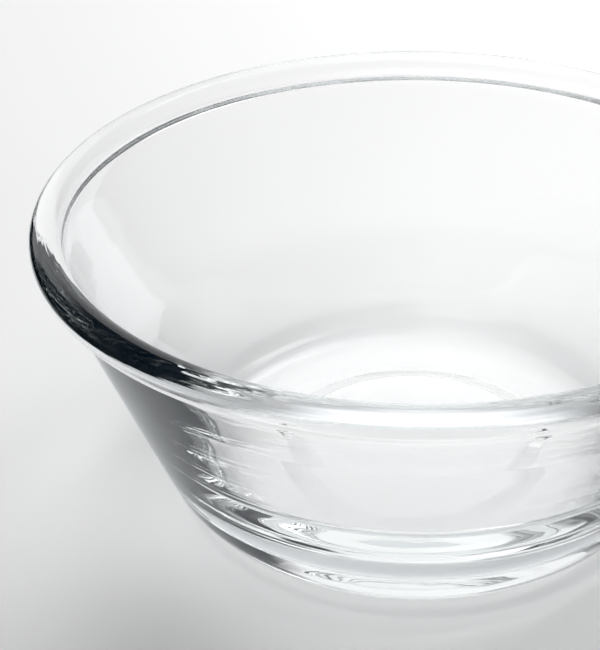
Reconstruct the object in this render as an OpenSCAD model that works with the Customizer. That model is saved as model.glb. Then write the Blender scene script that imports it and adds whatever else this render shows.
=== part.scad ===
/* [Rim] */
// Outside diameter over the rolled rim
rim_d = 120; // [80:1:200]
// Height of the bowl from the table to the top of the rim
bowl_h = 50.8; // [40:0.1:90]
// Height of the rim bead
bead_h = 5.2; // [4:0.1:9]
// How far the bead overhangs the outside of the wall
bead_lip = 2.8; // [2.3:0.1:4]

/* [Wall] */
// Level thickness of the wall where it meets the bead
wall_top_t = 2.1; // [1.8:0.1:4.5]
// Level thickness of the wall at its shoulder
wall_shoulder_t = 2.8; // [1.8:0.1:5]
// Level thickness of the wall at its waist
wall_waist_t = 3.5; // [2.4:0.1:6]
// Level thickness that the line of the lower wall reaches at the height of the table
wall_foot_t = 9.3; // [4:0.1:11]

/* [Base] */
// Diameter of the heel, where the wall would meet the table
heel_d = 77; // [70:1:100]
// Thickness of the floor, from the table to the inside
floor_t = 7.5; // [4:0.1:9]
// Diameter of the hollow under the floor, inside the ring that the bowl stands on
hollow_d = 48; // [30:1:54]
// Depth of the hollow under the floor
hollow_h = 2.1; // [0.3:0.1:2.5]

/* [Rounding] */
// Radius of the cove where the inside of the wall meets the floor
cove_round = 8; // [4:0.5:14]
// Radius of the heel, between the ring and the wall
heel_round = 13; // [2:0.5:16]
// Radius of the bead's upper outer edge
bead_out_round = 2.8; // [0.8:0.1:3]
// Radius of the bead's lower outer edge
bead_low_round = 2; // [0.4:0.1:2]
// Radius of the bead's upper inner edge
bead_in_round = 1.9; // [0.8:0.1:2.5]

/* [Hidden] */

// Steps of each rounded corner of the profile
corner_steps = 12;
// Radius of the neck, the hollow corner under the bead
neck_round = 0.3;
// Radius of the soft bend where the inner edge of the bead runs into the wall
throat_round = 12;
// Radius of the soft bends of the inside at the wall's shoulder and waist
wall_round = 17;
// Heights of the shoulder and of the waist, as shares of the wall's height
shoulder_share = 0.8;
waist_share = 0.48;
// Radii of the hollow's rim and of its root
hollow_rim_round = 0.6;
hollow_root_round = 2;
// Run of the hollow's sloping edge
hollow_slope = 3;

rim_r = rim_d / 2;
heel_r = heel_d / 2;
hollow_r = hollow_d / 2;
bead_z = bowl_h - bead_h;
neck_r = rim_r - bead_lip;
bead_in_r = neck_r - wall_top_t;

// The inner round stays within the bead's width, and the outer one takes at most what both leave it
bead_w = bead_lip + wall_top_t;
round_share = 0.98;
out_share = 0.6;
out_round = min(bead_out_round, bead_w * out_share, (bead_h - bead_low_round) * round_share);
in_round = min(bead_in_round, bead_w * round_share - out_round);

// Point of the inside of the wall at a share of its height, with its level thickness there
function inside(share, thickness) =
    [heel_r * (1 - share) + neck_r * share - thickness, bead_z * share];

shoulder = inside(shoulder_share, wall_shoulder_t);
waist = inside(waist_share, wall_waist_t);

// The lower wall's inside is the line from the waist towards its foot. This is where it meets the floor
foot_r = heel_r - wall_foot_t;
cove_r = foot_r + (waist.x - foot_r) * floor_t / waist.y;

function unit(v) = v / norm(v);

// Corner b of the path a, b, c, rounded to a radius: points on the arc that touches both sides
function corner(a, b, c, radius) =
    let (
        back = unit(a - b),
        ahead = unit(c - b),
        half = acos(back * ahead) / 2,
        middle = b + unit(back + ahead) * radius / sin(half),
        start = b + back * radius / tan(half) - middle,
        turn = (back.x * ahead.y - back.y * ahead.x > 0 ? -1 : 1) * (180 - 2 * half),
        heading = atan2(start.y, start.x)
    )
    [for (i = [0:corner_steps]) let (at = heading + turn * i / corner_steps) middle + radius * [cos(at), sin(at)]];

// Half section of the bowl: each corner with the radius that rounds it, none on the axis
outline = [
    [[0, hollow_h], 0],
    [[hollow_r - hollow_slope, hollow_h], hollow_root_round],
    [[hollow_r, 0], hollow_rim_round],
    [[heel_r, 0], heel_round],
    [[neck_r, bead_z], neck_round],
    [[rim_r, bead_z], bead_low_round],
    [[rim_r, bowl_h], out_round],
    [[bead_in_r, bowl_h], in_round],
    [[bead_in_r, bead_z], throat_round],
    [shoulder, wall_round],
    [waist, wall_round],
    [[cove_r, floor_t], cove_round],
    [[0, floor_t], 0],
];

// The bowl is one pressed piece of clear glass: a thick rim bead, a wall that thickens downwards, a
// coved floor, a round heel, and a shallow hollow underneath that leaves a ring to stand on
module bowl() {
    last = len(outline) - 1;
    color([0.85, 0.93, 0.91, 0.45])
    rotate_extrude($fn = 180)
    polygon([
        for (i = [0:last])
        let (at = outline[i])
        each at[1] == 0
            ? [at[0]]
            : corner(outline[i - 1][0], at[0], outline[i + 1][0], at[1])
    ]);
}

bowl();
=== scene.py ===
import bpy
import numpy as np
from mathutils import Matrix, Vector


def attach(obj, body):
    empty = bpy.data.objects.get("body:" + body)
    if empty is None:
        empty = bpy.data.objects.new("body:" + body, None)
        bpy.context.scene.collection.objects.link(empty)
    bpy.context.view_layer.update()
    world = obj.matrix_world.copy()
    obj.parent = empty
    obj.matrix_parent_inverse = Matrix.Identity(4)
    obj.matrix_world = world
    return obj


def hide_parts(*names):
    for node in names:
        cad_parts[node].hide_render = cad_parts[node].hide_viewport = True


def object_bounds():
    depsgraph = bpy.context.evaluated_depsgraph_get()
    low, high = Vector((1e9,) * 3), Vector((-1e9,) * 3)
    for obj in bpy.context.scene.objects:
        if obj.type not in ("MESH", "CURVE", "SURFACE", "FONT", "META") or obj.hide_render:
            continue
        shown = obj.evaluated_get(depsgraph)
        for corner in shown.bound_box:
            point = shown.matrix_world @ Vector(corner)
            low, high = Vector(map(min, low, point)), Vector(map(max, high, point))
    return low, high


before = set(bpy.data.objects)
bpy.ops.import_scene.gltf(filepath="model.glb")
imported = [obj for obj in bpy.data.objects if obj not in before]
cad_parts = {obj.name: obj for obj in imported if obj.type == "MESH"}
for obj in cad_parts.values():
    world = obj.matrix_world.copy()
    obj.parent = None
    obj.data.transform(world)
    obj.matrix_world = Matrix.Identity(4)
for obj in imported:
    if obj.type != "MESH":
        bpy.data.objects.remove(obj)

cad_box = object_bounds()
MM = 0.001

# Camera: it stands close over the left of the bowl with a long lens, looks down on it by a third
# of a right angle, and is held a little off level. Its lens is given in the photograph's pixels.
PHOTO_WIDTH, PHOTO_HEIGHT = 600, 650
SENSOR = 36.0
LENS_PIXELS = 1911
LOOK_DOWN = np.radians(31.36)
ROLL = np.radians(-1.14)
EYE = np.array([-18.56, -262.1, 188.35]) * MM
NEAREST_SEEN = 10 * MM


def camera_matrix(eye, down, roll):
    """A camera that looks along +Y and down by an angle and is then turned about its own view:
    right and up are level X and raised Z mixed by the roll, and back is the reversed view."""
    level = np.array([1.0, 0.0, 0.0])
    raised = np.array([0.0, np.sin(down), np.cos(down)])
    view = np.array([0.0, np.cos(down), -np.sin(down)])
    place = np.eye(4)
    place[:3, 0] = np.cos(roll) * level + np.sin(roll) * raised
    place[:3, 1] = np.cos(roll) * raised - np.sin(roll) * level
    place[:3, 2] = -view
    place[:3, 3] = eye
    return Matrix(place.tolist())


lens = bpy.data.cameras.new("camera")
lens.sensor_fit = "AUTO"
lens.sensor_width = SENSOR
lens.lens = LENS_PIXELS * SENSOR / max(PHOTO_WIDTH, PHOTO_HEIGHT)
lens.clip_start = NEAREST_SEEN
camera = bpy.data.objects.new("camera", lens)
camera.matrix_world = camera_matrix(EYE, LOOK_DOWN, ROLL)
bpy.context.scene.collection.objects.link(camera)
bpy.context.scene.camera = camera


# Bowl: one gob of clear soda-lime glass, pressed in a mould and fire-polished. The rim bead, the
# wall, the coved floor and the ring that it stands on are one body. Its faces keep faint waves, its
# bead fine rings, and thick glass shows the green of the iron in the sand.
low, high = cad_box
RIM_R = (high.x - low.x) / 2
BOWL_H = high.z - low.z
BEAD_H = 5.2 * MM
BEAD_LIP = 2.8 * MM
WALL_TOP_T, WALL_SHOULDER_T = 2.1 * MM, 2.8 * MM
WALL_WAIST_T, WALL_FOOT_T = 3.5 * MM, 9.3 * MM
SHOULDER_SHARE, WAIST_SHARE = 0.8, 0.48
HEEL_R = 38.5 * MM
FLOOR_T = 7.5 * MM
HOLLOW_R, HOLLOW_H, HOLLOW_SLOPE = 24 * MM, 2.1 * MM, 3 * MM
COVE_ROUND, HEEL_ROUND, WALL_ROUND = 8 * MM, 13 * MM, 17 * MM
BEAD_OUT_ROUND, BEAD_LOW_ROUND, BEAD_IN_ROUND = 2.6 * MM, 2.4 * MM, 2.2 * MM
NECK_ROUND, THROAT_ROUND = 0.3 * MM, 12 * MM
HOLLOW_RIM_ROUND, HOLLOW_ROOT_ROUND = 0.6 * MM, 2 * MM
CORNER_STEPS = 14
STEP_ALONG = 1.5 * MM
TURN_STEPS = 400
REFRACTION = 1.5
GREEN, GREEN_DENSITY = (0.78, 0.93, 0.9, 1), 1.6
WAVE_LENGTH, WAVE_DEPTH = 9 * MM, 0.04 * MM
RING_WIDTH, RING_DEPTH = 0.6 * MM, 0.03 * MM
RELIEF_DETAIL, RELIEF_ROUGHNESS = 1.0, 0.4
# Which output of the Texture Coordinate node holds a piece's own coordinates
OBJECT_COORDINATES = 3


def corner(before, at, after, radius):
    """A corner rounded to a radius: an arc that touches both sides. Its middle lies on the
    bisector at radius / sin(half the angle) from the corner, and it starts at radius / tan(half
    the angle) along one side."""
    back = (before - at) / np.linalg.norm(before - at)
    ahead = (after - at) / np.linalg.norm(after - at)
    half = np.arccos(back @ ahead) / 2
    bisector = (back + ahead) / np.linalg.norm(back + ahead)
    middle = at + bisector * radius / np.sin(half)
    start = at + back * radius / np.tan(half) - middle
    way = 1 if back[0] * ahead[1] - back[1] * ahead[0] < 0 else -1
    sweep = way * (np.pi - 2 * half)
    angle = np.arctan2(start[1], start[0]) + sweep * np.linspace(0, 1, CORNER_STEPS + 1)
    return middle + radius * np.stack([np.cos(angle), np.sin(angle)], axis=1)


def half_section():
    """Points of the bowl's half section from the axis under the floor, out, up the outside, over
    the bead and down the inside to the axis: straight runs between rounded corners. A long run
    is cut into even steps, as many as its length holds of STEP_ALONG."""
    bead_z = BOWL_H - BEAD_H
    neck_r = RIM_R - BEAD_LIP
    bead_in_r = neck_r - WALL_TOP_T

    def inside(share, thickness):
        """Point of the inside of the wall at a share of its height: the outer line from the heel
        to the neck, less the level thickness there."""
        return np.array([HEEL_R * (1 - share) + neck_r * share - thickness, bead_z * share])

    shoulder = inside(SHOULDER_SHARE, WALL_SHOULDER_T)
    waist = inside(WAIST_SHARE, WALL_WAIST_T)
    foot = inside(0, WALL_FOOT_T)
    cove = foot + (waist - foot) * FLOOR_T / waist[1]
    corners = [
        (0, HOLLOW_H, 0),
        (HOLLOW_R - HOLLOW_SLOPE, HOLLOW_H, HOLLOW_ROOT_ROUND),
        (HOLLOW_R, 0, HOLLOW_RIM_ROUND),
        (HEEL_R, 0, HEEL_ROUND),
        (neck_r, bead_z, NECK_ROUND),
        (RIM_R, bead_z, BEAD_LOW_ROUND),
        (RIM_R, BOWL_H, BEAD_OUT_ROUND),
        (bead_in_r, BOWL_H, BEAD_IN_ROUND),
        (bead_in_r, bead_z, THROAT_ROUND),
        (*shoulder, WALL_ROUND),
        (*waist, WALL_ROUND),
        (*cove, COVE_ROUND),
        (0, FLOOR_T, 0),
    ]
    places = np.array([c[:2] for c in corners], float)
    radii = [c[2] for c in corners]
    arcs = [corner(*places[i - 1:i + 2], radii[i]) for i in range(1, len(corners) - 1)]
    points = np.concatenate([places[:1], *arcs, places[-1:]])
    runs = np.linalg.norm(np.diff(points, axis=0), axis=1)
    parts = np.maximum(1, (runs / STEP_ALONG).astype(int))
    along = np.concatenate([[0], np.cumsum(runs)])
    cuts = [np.linspace(along[i], along[i + 1], parts[i], endpoint=False)
            for i in range(len(runs))]
    wanted = np.concatenate(cuts + [along[-1:]])
    return np.stack([np.interp(wanted, along, points[:, side]) for side in (0, 1)], axis=1)


def turned(section, steps):
    """A closed surface of revolution. Each inner point (r, z) of the section goes round as
    (r cos a, r sin a, z), and the two ends, which lie on the axis, each close with a fan."""
    ring = section[1:-1]
    angle = np.linspace(0, 2 * np.pi, steps, endpoint=False)
    places = np.stack([
        ring[:, :1] * np.cos(angle),
        ring[:, :1] * np.sin(angle),
        np.broadcast_to(ring[:, 1:], (len(ring), steps)),
    ], axis=-1).reshape(-1, 3)
    poles = np.array([[0, 0, section[0, 1]], [0, 0, section[-1, 1]]])
    row, column = np.meshgrid(np.arange(len(ring) - 1), np.arange(steps), indexing="ij")
    after = (column + 1) % steps
    quads = np.stack([
        row * steps + column,
        row * steps + after,
        (row + 1) * steps + after,
        (row + 1) * steps + column,
    ], axis=-1).reshape(-1, 4)
    low_pole, high_pole = len(places), len(places) + 1
    here = np.arange(steps)
    there = (here + 1) % steps
    last = (len(ring) - 1) * steps
    under = np.stack([np.full(steps, low_pole), there, here], axis=1)
    over = np.stack([np.full(steps, high_pole), last + here, last + there], axis=1)
    return np.concatenate([places, poles]), quads.tolist() + under.tolist() + over.tolist()


class Wire:
    """A socket that a node puts out. Operators on wires and numbers add the Math nodes."""

    def __init__(self, socket):
        self.socket = socket
        self.tree = socket.id_data

    def math(self, operation, *others):
        """The Math node of an operation on this wire and the others, in this order."""
        values = dict(enumerate((self, *others)))
        return node(self.tree, "ShaderNodeMath", {"operation": operation}, values)[0]

    def __add__(self, other):
        return self.math("ADD", other)

    def __sub__(self, other):
        return self.math("SUBTRACT", other)

    def __rsub__(self, other):
        return node(self.tree, "ShaderNodeMath", {"operation": "SUBTRACT"}, {0: other, 1: self})[0]

    def __mul__(self, other):
        return self.math("MULTIPLY", other)

    __radd__ = __add__
    __rmul__ = __mul__


def node(tree, kind, settings, inputs):
    """Adds a node to a tree: its settings first, then the value or the wire of each socket, named
    or numbered. Returns the node's outputs as wires, in order."""
    made = tree.nodes.new(kind)
    for name, value in settings.items():
        setattr(made, name, value)
    for name, value in inputs.items():
        if isinstance(value, Wire):
            tree.links.new(value.socket, made.inputs[name])
        else:
            made.inputs[name].default_value = value
    return [Wire(socket) for socket in made.outputs]


def tree_of(owner):
    """The empty node tree of a material or a world."""
    owner.use_nodes = True
    owner.node_tree.nodes.clear()
    return owner.node_tree


def fade(value, start, end):
    """0 on start's side, 1 on end's side, and a smooth step between them. Start may be the
    larger of the two, and the step then goes down as the value grows."""
    return node(value.tree, "ShaderNodeMapRange", {"interpolation_type": "SMOOTHSTEP"},
                {"Value": value, "From Min": start, "From Max": end})[0]


def from_axis(across, away):
    """Distance from the axis: the root of the sum of the two squares."""
    return (across * across + away * away).math("SQRT")


places, faces = turned(half_section(), TURN_STEPS)
bowl_mesh = bpy.data.meshes.new("bowl_glass")
bowl_mesh.from_pydata(places.tolist(), [], faces)
bowl_mesh.polygons.foreach_set("use_smooth", np.ones(len(faces), bool))
bowl_mesh.update()
bowl = bpy.data.objects.new("bowl_glass", bowl_mesh)
bpy.context.scene.collection.objects.link(bowl)

glass = bpy.data.materials.new("clear_glass")
tree = tree_of(glass)
place = node(tree, "ShaderNodeTexCoord", {}, {})[OBJECT_COORDINATES]
waves = node(tree, "ShaderNodeTexNoise", {"noise_dimensions": "3D"}, {
    "Vector": place,
    "Scale": 1 / WAVE_LENGTH,
    "Detail": RELIEF_DETAIL,
    "Roughness": RELIEF_ROUGHNESS,
})[0]
across, away, up = node(tree, "ShaderNodeSeparateXYZ", {}, {0: place})
in_section = node(tree, "ShaderNodeCombineXYZ", {}, {"X": from_axis(across, away), "Y": up})[0]
rings = node(tree, "ShaderNodeTexNoise", {"noise_dimensions": "2D"}, {
    "Vector": in_section,
    "Scale": 1 / RING_WIDTH,
    "Detail": RELIEF_DETAIL,
    "Roughness": RELIEF_ROUGHNESS,
})[0]
rings = rings * fade(up, BOWL_H - BEAD_H, BOWL_H - BEAD_H / 2)
relief = waves * WAVE_DEPTH + rings * RING_DEPTH
pressed = node(tree, "ShaderNodeBump", {}, {"Strength": 1.0, "Distance": 1.0, "Height": relief})[0]
surface = node(tree, "ShaderNodeBsdfPrincipled", {}, {
    "Base Color": (1, 1, 1, 1),
    "Roughness": 0.0,
    "IOR": REFRACTION,
    "Transmission Weight": 1.0,
    "Normal": pressed,
})[0]
tint = node(tree, "ShaderNodeVolumeAbsorption", {}, {"Color": GREEN, "Density": GREEN_DENSITY})[0]
node(tree, "ShaderNodeOutputMaterial", {}, {"Surface": surface, "Volume": tint})
bowl_mesh.materials.append(glass)

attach(bowl, "root")
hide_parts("bowl")


# Table: a plain matt white sheet, palest at the back right. Its light comes partly from its own
# paraleness and partly from the studio, so that the bowl's shadow stays. Its paleness also holds
# painted shade round the bowl and painted light in front of it and behind it. Light that has
# turned back on the glass finds only a strip of it, and the rest is painted black, as if black
# cards stood round it.
TABLE_HALF = 4.0
TABLE_GAP = 0.02 * MM
TABLE_WHITE = 0.85
# Its own paleness: far behind the bowl, how it drops towards the camera, how it leans to the
# right, and how it rises again in front of everything that the camera sees. Near the bowl the
# drop, and the rise beyond it, make a painted soft shadow in front of the bowl
PALE_FAR, PALE_DROP, PALE_RUN = 0.605, 0.25, 1.5 * RIM_R
PALE_LEAN, LEAN_START, LEAN_END = 0.075 / RIM_R, -RIM_R, 2 * RIM_R
NEAREST, WIDEST = -0.85 * RIM_R, 2 * RIM_R
RISE, RISE_START, RISE_END = 0.26, -0.8 * RIM_R, -4 * RIM_R
# Painted light on the front of the table, which shows only in reflections and through the glass
FORE_PAINTED_LIGHT, FORE_START, FORE_END = 0.6, -0.8 * RIM_R, -1.15 * RIM_R
# Painted shade and light: the shadow at the bowl's lower left, the shade under the back of its
# wall, and the glow behind it
SHADE, SHADE_ACROSS, SHADE_AWAY, SHADE_WIDTH = 0.15, -0.68 * RIM_R, -0.72 * RIM_R, 0.3 * RIM_R
UNDER, UNDER_R, UNDER_WIDTH, UNDER_TURN = 0.16, 0.7 * RIM_R, 0.14 * RIM_R, 0.35 * RIM_R
GLOW, GLOW_ACROSS, GLOW_AWAY, GLOW_WIDTH = 0.07, 0.3 * RIM_R, 1.35 * RIM_R, 0.8 * RIM_R
# The strip between the painted black cards, which opens to the right behind the bowl, and how
# much red, green and blue the table's light loses once it has turned back on the glass, a
# painted cold tint in its reflections
STRIP_LEFT, STRIP_RIGHT, STRIP_FRONT = -2.2 * RIM_R, 0.5 * RIM_R, -1.4 * RIM_R
STRIP_EDGE, STRIP_SOFT = 0.1 * RIM_R, 0.5 * RIM_R
SPREAD, SPREAD_FROM = 0.9, 0.6 * RIM_R
COLD = 0.04, 0.015, 0.0
# Outputs of the Light Path node
IS_CAMERA_RAY, IS_GLOSSY_RAY, IS_TRANSMISSION_RAY, GLOSSY_DEPTH = 0, 3, 6, 11


def bell(squared):
    """1 where the squared distance is 0, and e to the minus of it elsewhere."""
    return (squared * -1).math("EXPONENT")


def spot(middle_across, middle_away, width):
    """A soft round spot on the table: a bell of the distance from its middle over its width."""
    aside = (across - middle_across) * (1 / width)
    beyond = (away - middle_away) * (1 / width)
    return bell(aside * aside + beyond * beyond)


sides = (-1, -1), (1, -1), (1, 1), (-1, 1)
table_corners = [(x * TABLE_HALF, y * TABLE_HALF, -TABLE_GAP) for x, y in sides]
table_mesh = bpy.data.meshes.new("table")
table_mesh.from_pydata(table_corners, [], [(0, 1, 2, 3)])
table = bpy.data.objects.new("table", table_mesh)
bpy.context.scene.collection.objects.link(table)

sheet = bpy.data.materials.new("matt_white_with_painted_light")
tree = tree_of(sheet)
place = node(tree, "ShaderNodeTexCoord", {}, {})[OBJECT_COORDINATES]
across, away, _ = node(tree, "ShaderNodeSeparateXYZ", {}, {0: place})

# Turned back is 1 once the light has mirrored on a face of the glass at least once
ray = node(tree, "ShaderNodeLightPath", {}, {})
turned_back = ray[GLOSSY_DEPTH].math("GREATER_THAN", 0.5)
by_glass = ray[IS_GLOSSY_RAY].math("MAXIMUM", ray[IS_TRANSMISSION_RAY])
seen = ray[IS_CAMERA_RAY].math("MAXIMUM", by_glass)

opened = across - (away - SPREAD_FROM).math("MAXIMUM", 0.0) * SPREAD
strip = (
    fade(across, STRIP_LEFT - STRIP_EDGE, STRIP_LEFT + STRIP_EDGE)
    * fade(opened, STRIP_RIGHT + STRIP_SOFT, STRIP_RIGHT)
    * fade(away, STRIP_FRONT - STRIP_EDGE, STRIP_FRONT + STRIP_EDGE)
)
# Painted dark: outside the strip, light that has turned back on the glass finds the table black
shown = strip.math("MAXIMUM", 1 - turned_back)
# Painted cold tint on the table as the glass mirrors it
cold = [1 - turned_back * share for share in COLD]

# Darker towards the camera: near the bowl's front this is a painted soft shadow
drop = (away.math("MAXIMUM", NEAREST) * (-1 / PALE_RUN)).math("EXPONENT")
level = across.math("MINIMUM", WIDEST).math("MAXIMUM", -WIDEST)
lean = level * fade(away, LEAN_START, LEAN_END)
# Painted light: the front of the table is brighter only in reflections and through the glass
fore = fade(away, FORE_START, FORE_END) * by_glass
# The painted soft shadow ends: far in front the table is pale again
rise = fade(away, RISE_START, RISE_END)
# Painted shadow: a soft dark spot at the bowl's lower left
shade = spot(SHADE_ACROSS, SHADE_AWAY, SHADE_WIDTH)
# Painted light: a soft bright spot on the table behind the bowl
glow = spot(GLOW_ACROSS, GLOW_AWAY, GLOW_WIDTH)
# Painted shade: a dark ring under the wall, only behind the bowl
from_wall = (from_axis(across, away) - UNDER_R) * (1 / UNDER_WIDTH)
under = bell(from_wall * from_wall) * fade(away, -UNDER_TURN, UNDER_TURN)
# Paleness with the painted shade and painted light in it
pale_and_painted_light = (
    lean * PALE_LEAN - drop * PALE_DROP + fore * FORE_PAINTED_LIGHT + rise * RISE
    - shade * SHADE - under * UNDER + glow * GLOW + PALE_FAR
)

sent = pale_and_painted_light * seen * shown
hue = node(tree, "ShaderNodeCombineColor", {}, {n: sent * cold[n] for n in range(3)})[0]
kept = [shown * cold[n] * TABLE_WHITE for n in range(3)]
white = node(tree, "ShaderNodeCombineColor", {}, dict(enumerate(kept)))[0]
own = node(tree, "ShaderNodeEmission", {}, {"Color": hue, "Strength": 1.0})[0]
matt = node(tree, "ShaderNodeBsdfDiffuse", {}, {"Color": white})[0]
both = node(tree, "ShaderNodeAddShader", {}, {0: matt, 1: own})[0]
node(tree, "ShaderNodeOutputMaterial", {}, {"Surface": both})
table_mesh.materials.append(sheet)


# Light: a dark studio, and in it a white sweep behind the bowl, a soft light overhead, a broad soft
# lamp behind the camera and a smaller one at the back right, which throws the shadow. Each is a
# patch of the sky. Light may turn often inside the glass.
ROOM_DARK = (0.001, 0.004, 0.008, 1)
OVERHEAD_START, OVERHEAD_END, OVERHEAD_BRIGHT = 56, 64, 0.95
BOUNCES = 32
# Which output of the Texture Coordinate node holds the sky's direction
DIRECTION = 0
DEGREE = float(np.degrees(1))


def patch(middle, half, bottom, top, soft, bright):
    """A patch of the sky: its turn from the middle stays within half, and its height within
    bottom and top, all in degrees. The turn is the angle between a sky direction's level part
    and the middle's, by the arc tangent of its share aside over its share ahead."""
    turn = np.radians(middle)
    ahead = across * float(np.sin(turn)) + away * float(np.cos(turn))
    aside = across * float(np.cos(turn)) - away * float(np.sin(turn))
    angle = aside.math("ARCTAN2", ahead).math("ABSOLUTE") * DEGREE
    within = fade(angle, half + soft, half - soft)
    above = fade(height, bottom - soft, bottom + soft)
    below = fade(height, top + soft, top - soft)
    return within * above * below * bright


world = bpy.data.worlds.new("studio")
bpy.context.scene.world = world
tree = tree_of(world)
direction = node(tree, "ShaderNodeTexCoord", {}, {})[DIRECTION]
across, away, up = node(tree, "ShaderNodeSeparateXYZ", {}, {0: direction})
height = up.math("ARCSINE") * DEGREE
light = (
    patch(middle=-10, half=34, bottom=-10, top=36, soft=4, bright=1.0)
    + patch(middle=4, half=20, bottom=36, top=60, soft=4, bright=1.0)
    + fade(height, OVERHEAD_START, OVERHEAD_END) * OVERHEAD_BRIGHT
    + patch(middle=214, half=28, bottom=43, top=76, soft=13, bright=1.5)
    + patch(middle=45, half=12, bottom=48, top=64, soft=5, bright=3.0)
)
white = node(tree, "ShaderNodeBackground", {}, {"Color": (1, 1, 1, 1), "Strength": light})[0]
dark = node(tree, "ShaderNodeBackground", {}, {"Color": ROOM_DARK, "Strength": 1.0})[0]
both = node(tree, "ShaderNodeAddShader", {}, {0: white, 1: dark})[0]
node(tree, "ShaderNodeOutputWorld", {}, {"Surface": both})

scene = bpy.context.scene
scene.view_settings.view_transform = "Standard"
scene.cycles.max_bounces = BOUNCES
scene.cycles.glossy_bounces = BOUNCES
scene.cycles.transmission_bounces = BOUNCES
scene.cycles.blur_glossy = 0
scene.cycles.sample_clamp_indirect = 0
